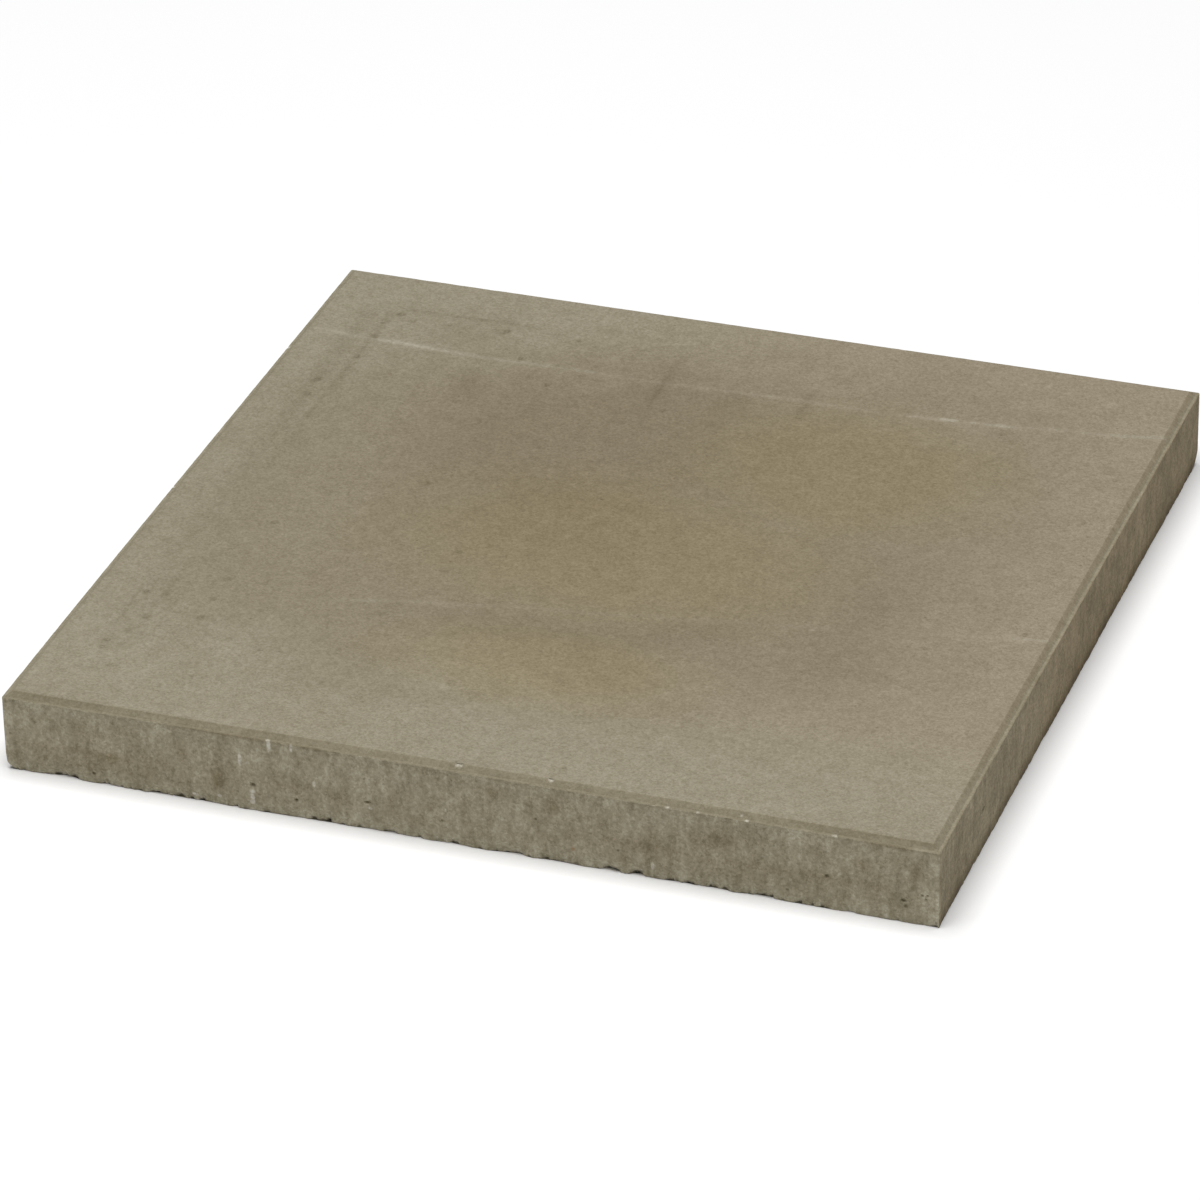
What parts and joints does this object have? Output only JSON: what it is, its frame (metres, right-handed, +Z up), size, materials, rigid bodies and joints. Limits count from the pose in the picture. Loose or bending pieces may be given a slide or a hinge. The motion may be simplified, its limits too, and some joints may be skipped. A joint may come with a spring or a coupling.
{
  "type": "concrete paving slab",
  "caption": "Square pressed concrete paving slab with a flat sandy face, a narrow shouldered chamfer round its top edge and plain upright sides; laid flat on a bed to pave ground.",
  "frame": {"origin": "centre of the underside, level with the ground or bed that the slab lies on", "axes": "+Z up out of the top face, +X along the front edge to the right, +Y from the front to the back"},
  "size_m": [0.4, 0.4, 0.037],
  "materials": {
    "concrete": "matt pressed concrete, fine sandy face, rougher streaked sides"
  },
  "bodies": {
    "root": {"slab": "concrete"}
  },
  "joints": []
}
